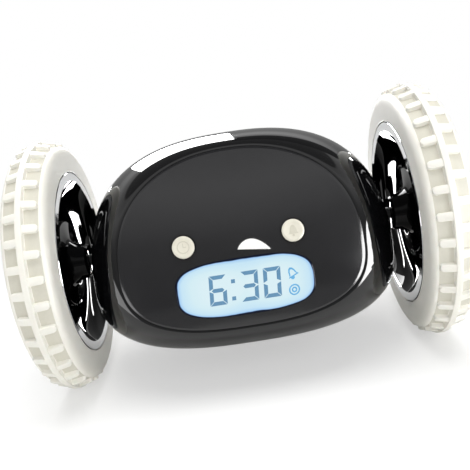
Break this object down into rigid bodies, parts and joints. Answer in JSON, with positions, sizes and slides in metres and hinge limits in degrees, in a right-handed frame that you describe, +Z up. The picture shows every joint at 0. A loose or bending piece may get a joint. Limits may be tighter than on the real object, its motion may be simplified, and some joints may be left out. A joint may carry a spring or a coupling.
{
  "type": "runaway alarm clock",
  "caption": "Egg-shaped alarm clock slung between two large treaded wheels, each driven by its own motor and gear train, with a lit display and push buttons in a leaning face.",
  "frame": {"origin": "on the floor, under the middle of the wheels' common axle", "axes": "+X along the axle (to the right as seen from the front), -Y is the side the display looks to, +Z up"},
  "size_m": [0.1394, 0.087, 0.087],
  "materials": {
    "gloss_black": "gloss moulded ABS",
    "panel_grey": "satin face panel",
    "mark_white": "smooth",
    "display_blue": "clear window over the lit display",
    "lcd": "display glass",
    "backlight": "diffuser",
    "board": "solder mask",
    "black_parts": "moulded",
    "steel": "zinc plated",
    "cream_plastic": "moulded",
    "cells": "printed can",
    "gearbox": "moulded",
    "brass": "turned",
    "motor_can": "plated can",
    "nylon": "moulded",
    "tyre_cream": "soft matt rubber",
    "hub_black": "gloss with a bright rim"
  },
  "bodies": {
    "chassis": {"front_shell": "gloss_black", "rear_shell": "gloss_black", "face_panel": "panel_grey", "face_mark": "mark_white", "display_lens": "display_blue", "lcd_glass": "lcd", "backlight": "backlight", "main_board": "board", "tact_switches": "black_parts", "board_screws": "steel", "buzzer": "black_parts", "battery_tray": "black_parts", "battery_cells": "cells", "battery_contacts": "steel", "case_screws": "steel", "left_gearbox": "gearbox", "right_gearbox": "gearbox", "left_gearbox_cover": "gearbox", "right_gearbox_cover": "gearbox", "gearbox_screws": "steel", "gear_pins": "steel", "axle_bushes": "brass", "left_motor": "motor_can", "right_motor": "motor_can", "motor_end_caps": "nylon"},
    "left_wheel": {"left_tyre": "tyre_cream", "left_hub": "hub_black", "left_hub_cap": "hub_black", "hub_screw_left": "steel", "left_axle": "steel", "left_output_gear": "nylon"},
    "left_second_gear": {"left_second_gear": "nylon"},
    "left_first_gear": {"left_first_gear": "nylon"},
    "left_motor_rotor": {"left_motor_shaft": "steel", "left_motor_pinion": "brass"},
    "right_wheel": {"right_tyre": "tyre_cream", "right_hub": "hub_black", "right_hub_cap": "hub_black", "hub_screw_right": "steel", "right_axle": "steel", "right_output_gear": "nylon"},
    "right_second_gear": {"right_second_gear": "nylon"},
    "right_first_gear": {"right_first_gear": "nylon"},
    "right_motor_rotor": {"right_motor_shaft": "steel", "right_motor_pinion": "brass"},
    "left_button": {"left_button": "cream_plastic"},
    "right_button": {"right_button": "cream_plastic"},
    "battery_door": {"battery_door": "gloss_black", "door_screws": "steel"}
  },
  "joints": [
    {"name": "left_wheel_spin", "type": "hinge", "parent": "chassis", "child": "left_wheel", "pos_m": [-0.0555, 0, 0.0435], "axis": [1, 0, 0], "continuous": true},
    {"name": "left_second_gear_spin", "type": "hinge", "parent": "chassis", "child": "left_second_gear", "pos_m": [-0.0334, -0.00849, 0.03501], "axis": [1, 0, 0], "continuous": true},
    {"name": "left_first_gear_spin", "type": "hinge", "parent": "chassis", "child": "left_first_gear", "pos_m": [-0.0308, 0.00239, 0.02994], "axis": [1, 0, 0], "continuous": true},
    {"name": "left_motor_rotor_spin", "type": "hinge", "parent": "chassis", "child": "left_motor_rotor", "pos_m": [-0.0265, 0.00839, 0.04034], "axis": [1, 0, 0], "continuous": true},
    {"name": "right_wheel_spin", "type": "hinge", "parent": "chassis", "child": "right_wheel", "pos_m": [0.0555, 0, 0.0435], "axis": [1, 0, 0], "continuous": true},
    {"name": "right_second_gear_spin", "type": "hinge", "parent": "chassis", "child": "right_second_gear", "pos_m": [0.0334, -0.00849, 0.03501], "axis": [1, 0, 0], "continuous": true},
    {"name": "right_first_gear_spin", "type": "hinge", "parent": "chassis", "child": "right_first_gear", "pos_m": [0.0308, 0.00239, 0.02994], "axis": [1, 0, 0], "continuous": true},
    {"name": "right_motor_rotor_spin", "type": "hinge", "parent": "chassis", "child": "right_motor_rotor", "pos_m": [0.0265, 0.00839, 0.04034], "axis": [1, 0, 0], "continuous": true},
    {"name": "left_button_press", "type": "slide", "parent": "chassis", "child": "left_button", "axis": [0, 0.9659, -0.2588], "range_m": [0, 0.0006], "stiffness_N_per_m": 1500, "springref_m": -0.0001},
    {"name": "right_button_press", "type": "slide", "parent": "chassis", "child": "right_button", "axis": [0, 0.9659, -0.2588], "range_m": [0, 0.0006], "stiffness_N_per_m": 1500, "springref_m": -0.0001},
    {"name": "battery_door_lift", "type": "slide", "parent": "chassis", "child": "battery_door", "axis": [0, 0.2164, -0.9763], "range_m": [0, 0.006]}
  ],
  "couplings": [
    {"joint": "left_second_gear_spin", "follows": "left_wheel_spin", "ratio": -3},
    {"joint": "left_first_gear_spin", "follows": "left_wheel_spin", "ratio": 9},
    {"joint": "left_motor_rotor_spin", "follows": "left_wheel_spin", "ratio": -27},
    {"joint": "right_second_gear_spin", "follows": "right_wheel_spin", "ratio": -3},
    {"joint": "right_first_gear_spin", "follows": "right_wheel_spin", "ratio": 9},
    {"joint": "right_motor_rotor_spin", "follows": "right_wheel_spin", "ratio": -27}
  ]
}
